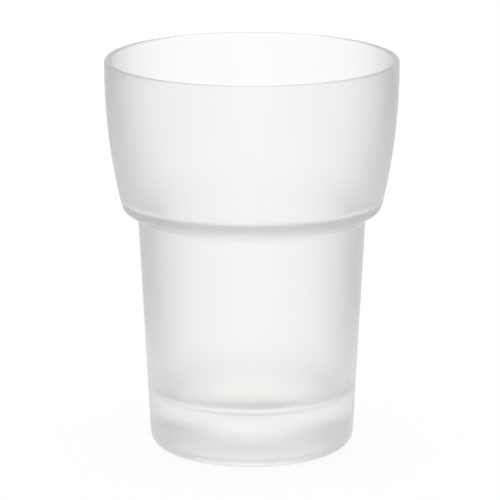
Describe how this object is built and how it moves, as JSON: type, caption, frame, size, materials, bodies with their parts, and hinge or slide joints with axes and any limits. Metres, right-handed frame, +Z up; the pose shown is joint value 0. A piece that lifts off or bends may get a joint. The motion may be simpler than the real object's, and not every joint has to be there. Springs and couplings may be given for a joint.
{
  "type": "bathroom tumbler",
  "caption": "Satin-frosted glass bathroom tumbler: swelling bowl over a shoulder that sits in a holder ring, tapered lower body, thick base.",
  "frame": {"origin": "centre of the standing plane, on the axis of the glass", "axes": "+Z up the axis to the lip; X and Y across the glass, which is round, so neither is special"},
  "size_m": [0.074, 0.074, 0.1],
  "materials": {
    "frosted_glass": "satin frosted, neutral white"
  },
  "bodies": {
    "root": {"tumbler_glass": "frosted_glass"}
  },
  "joints": []
}
